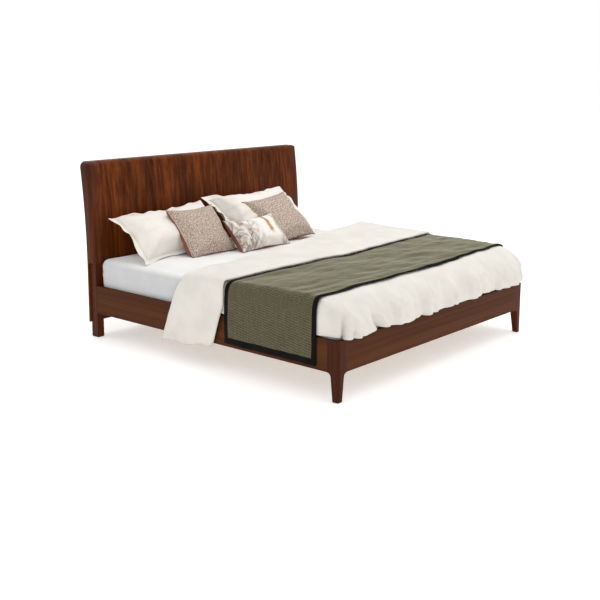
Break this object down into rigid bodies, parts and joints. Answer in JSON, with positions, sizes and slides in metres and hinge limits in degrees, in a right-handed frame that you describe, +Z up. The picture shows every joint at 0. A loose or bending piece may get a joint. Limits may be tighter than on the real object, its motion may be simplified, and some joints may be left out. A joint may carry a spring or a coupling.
{
  "type": "bed",
  "caption": "King-size panel bed with a gently back-curved headboard, low rails and tapered legs, dressed with mattress, duvet, runner, pillows and cushions.",
  "frame": {"origin": "on the floor, under the middle of the whole bed's bounding box", "axes": "+Z up, +Y towards the headboard, +X across the bed, to the right of someone who stands at the foot and looks at the headboard"},
  "size_m": [2.05, 2.2147, 1.165],
  "materials": {
    "walnut_leg": "satin lacquer",
    "walnut_rail": "satin lacquer",
    "walnut_board": "satin lacquer",
    "back_veneer": "matt lacquer",
    "pine": "sanded, unfinished",
    "zinc_steel": "zinc plated",
    "black_plastic": "moulded, matt",
    "mattress_ticking": "knitted ticking",
    "sheet_cotton": "plain woven cotton",
    "duvet_cotton": "plain woven cotton",
    "runner_weave": "ribbed weave with a dark border",
    "pillow_cotton": "plain woven cotton",
    "cushion_knit": "coarse flecked weave with piping",
    "lumbar_print": "printed cotton"
  },
  "bodies": {
    "root": {"foot_leg_left": "walnut_leg", "foot_leg_right": "walnut_leg", "head_post_left": "walnut_leg", "head_post_right": "walnut_leg", "side_rail_left": "walnut_rail", "side_rail_right": "walnut_rail", "foot_rail": "walnut_rail", "headboard_lower_rail": "walnut_rail", "headboard_board_1": "walnut_board", "headboard_board_2": "walnut_board", "headboard_board_3": "walnut_board", "headboard_board_4": "walnut_board", "headboard_stile_left": "walnut_board", "headboard_stile_right": "walnut_board", "headboard_back_panel": "back_veneer", "ledger_left": "pine", "ledger_right": "pine", "centre_beam": "pine", "beam_legs": "pine", "slats_left": "pine", "slats_right": "pine", "dowels": "pine", "beam_hanger_foot": "zinc_steel", "beam_hanger_head": "zinc_steel", "bracket_head_left": "zinc_steel", "bracket_head_right": "zinc_steel", "bracket_foot_left": "zinc_steel", "bracket_foot_right": "zinc_steel", "bracket_toe_left": "zinc_steel", "bracket_toe_right": "zinc_steel", "bracket_bolts": "zinc_steel", "bracket_screws": "zinc_steel", "ledger_screws": "zinc_steel", "slat_screws": "zinc_steel", "back_panel_screws": "zinc_steel", "levelling_feet": "black_plastic", "leg_glides": "black_plastic", "mattress": "mattress_ticking", "fitted_sheet": "sheet_cotton", "duvet": "duvet_cotton", "bed_runner": "runner_weave", "pillow_left": "pillow_cotton", "pillow_right": "pillow_cotton", "cushion_left": "cushion_knit", "cushion_right": "cushion_knit", "lumbar_cushion": "lumbar_print"}
  },
  "joints": []
}
